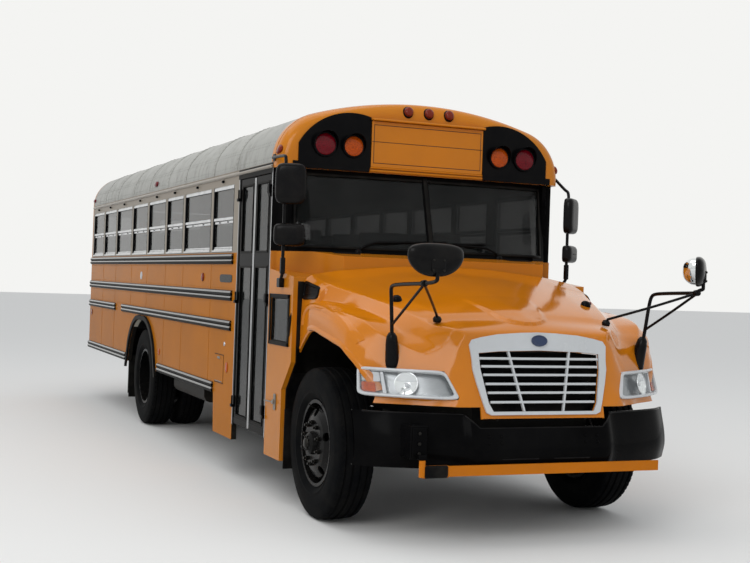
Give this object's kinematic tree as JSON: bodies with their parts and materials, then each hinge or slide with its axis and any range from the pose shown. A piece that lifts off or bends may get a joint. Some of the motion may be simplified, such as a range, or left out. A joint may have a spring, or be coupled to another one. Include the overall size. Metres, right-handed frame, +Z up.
{
  "type": "conventional school bus",
  "caption": "Long-hood passenger bus for pupils: ribbed body with sash windows, folding entry door, tilting hood, warning lamps, swinging crossing and stop arms.",
  "frame": {"origin": "on the ground under the middle of the whole vehicle, the crossview mirrors and rear bumper included", "axes": "+X towards the nose, +Y towards the driver's side, +Z up"},
  "size_m": [10.49, 2.67, 3.0696],
  "materials": {
    "frame_steel": "chassis black paint, dusty",
    "cast_block": "rough casting",
    "radiator_core": "finned core",
    "exhaust_steel": "heat-dulled steel",
    "tank_steel": "black painted steel",
    "floor_covering": "ribbed dark floor covering on steel",
    "body_yellow": "glossy yellow-orange paint with road dust",
    "roof_white": "white-grey roof paint, dusty",
    "dash_plastic": "grained dark plastic",
    "frame_black": "gloss black paint",
    "sash_aluminium": "bright rolled aluminium, black outer frame",
    "tinted_glass": "tinted safety glass",
    "seat_vinyl": "padded dark vinyl",
    "flare_rubber": "black moulded rubber",
    "mirror_black": "black moulded housings on black tube",
    "board_black": "black lamp boards, blank yellow sign panel",
    "lamp_lens": "moulded red and amber lenses",
    "grille_silver": "light silver moulding",
    "headlamp_silver": "silver bezel with clear lens",
    "rim_black": "black painted steel",
    "tyre_rubber": "worn tyre rubber",
    "arm_yellow": "yellow bar with a black sleeve",
    "stop_red": "bare red plate with a white edge"
  },
  "bodies": {
    "coach": {"chassis_frame": "frame_steel", "engine_block": "cast_block", "radiator": "radiator_core", "driveline": "cast_block", "exhaust": "exhaust_steel", "fuel_tank": "tank_steel", "battery_box": "frame_steel", "front_axle": "frame_steel", "rear_axle": "frame_steel", "floor": "floor_covering", "side_wall_right": "body_yellow", "side_wall_left": "body_yellow", "roof": "roof_white", "rear_wall": "body_yellow", "front_cap": "body_yellow", "cowl": "body_yellow", "dash": "dash_plastic", "windshield_frame": "frame_black", "windshield_glass": "tinted_glass", "side_window_frames": "sash_aluminium", "side_glass": "tinted_glass", "seats": "seat_vinyl", "front_bumper": "frame_black", "rear_bumper": "frame_black", "rub_rails": "frame_black", "arch_flares": "flare_rubber", "side_mirrors": "mirror_black", "lamp_boards": "board_black", "warning_lamps": "lamp_lens", "door_frame": "frame_black", "stop_arm_bracket": "frame_black"},
    "hood": {"hood": "body_yellow", "grille": "grille_silver", "headlamps": "headlamp_silver", "fender_mirrors": "mirror_black"},
    "knuckle_right": {"knuckle_right": "frame_steel"},
    "knuckle_left": {"knuckle_left": "frame_steel"},
    "tie_rod": {"tie_rod": "frame_steel"},
    "front_wheel_right": {"front_rim_right": "rim_black", "front_tyre_right": "tyre_rubber"},
    "front_wheel_left": {"front_rim_left": "rim_black", "front_tyre_left": "tyre_rubber"},
    "rear_wheels_right": {"rear_rims_right": "rim_black", "rear_tyres_right": "tyre_rubber"},
    "rear_wheels_left": {"rear_rims_left": "rim_black", "rear_tyres_left": "tyre_rubber"},
    "entry_leaf_front": {"entry_leaf_front": "frame_black", "entry_glass_front": "tinted_glass"},
    "entry_leaf_rear": {"entry_leaf_rear": "frame_black", "entry_glass_rear": "tinted_glass"},
    "rear_door": {"rear_door": "body_yellow", "rear_door_glass": "tinted_glass"},
    "crossing_arm": {"crossing_arm": "arm_yellow"},
    "stop_arm": {"stop_arm": "stop_red"}
  },
  "joints": [
    {"name": "steer_right", "type": "hinge", "parent": "coach", "child": "knuckle_right", "pos_m": [3.715, -0.88, 0.475], "axis": [0, 0, 1], "range_deg": [-40, 40]},
    {"name": "steer_left", "type": "hinge", "parent": "coach", "child": "knuckle_left", "pos_m": [3.715, 0.88, 0.475], "axis": [0, 0, 1], "range_deg": [-40, 40]},
    {"name": "tie_rod_pivot", "type": "hinge", "parent": "knuckle_left", "child": "tie_rod", "pos_m": [3.515, 0.88, 0.405], "axis": [0, 0, 1], "range_deg": [-40, 40]},
    {"name": "front_spin_right", "type": "hinge", "parent": "knuckle_right", "child": "front_wheel_right", "pos_m": [3.715, -1.0365, 0.525], "axis": [0, 1, 0], "continuous": true},
    {"name": "front_spin_left", "type": "hinge", "parent": "knuckle_left", "child": "front_wheel_left", "pos_m": [3.715, 1.0365, 0.525], "axis": [0, 1, 0], "continuous": true},
    {"name": "rear_spin_right", "type": "hinge", "parent": "coach", "child": "rear_wheels_right", "pos_m": [-1.797, -0.8855, 0.525], "axis": [0, 1, 0], "continuous": true},
    {"name": "rear_spin_left", "type": "hinge", "parent": "coach", "child": "rear_wheels_left", "pos_m": [-1.797, 0.8855, 0.525], "axis": [0, 1, 0], "continuous": true},
    {"name": "hood_tilt", "type": "hinge", "parent": "coach", "child": "hood", "pos_m": [4.807, 0, 0.806], "axis": [0, 1, 0], "range_deg": [0, 65]},
    {"name": "entry_leaf_front_hinge", "type": "hinge", "parent": "coach", "child": "entry_leaf_front", "pos_m": [2.731, -1.231, 1.5], "axis": [0, 0, 1], "range_deg": [0, 85]},
    {"name": "entry_leaf_rear_hinge", "type": "hinge", "parent": "coach", "child": "entry_leaf_rear", "pos_m": [1.899, -1.231, 1.5], "axis": [0, 0, -1], "range_deg": [0, 85]},
    {"name": "rear_door_hinge", "type": "hinge", "parent": "coach", "child": "rear_door", "pos_m": [-5.169, -0.454, 1.85], "axis": [0, 0, 1], "range_deg": [0, 110]},
    {"name": "crossing_arm_hinge", "type": "hinge", "parent": "coach", "child": "crossing_arm", "pos_m": [4.873, -0.87, 0.495], "axis": [0, 0, -1], "range_deg": [0, 90]},
    {"name": "stop_arm_hinge", "type": "hinge", "parent": "coach", "child": "stop_arm", "pos_m": [2.015, 1.262, 1.65], "axis": [0, 0, -1], "range_deg": [0, 90]}
  ],
  "couplings": [
    {"joint": "steer_right", "follows": "steer_left", "ratio": 1},
    {"joint": "tie_rod_pivot", "follows": "steer_left", "ratio": -1},
    {"joint": "entry_leaf_rear_hinge", "follows": "entry_leaf_front_hinge", "ratio": 1}
  ]
}
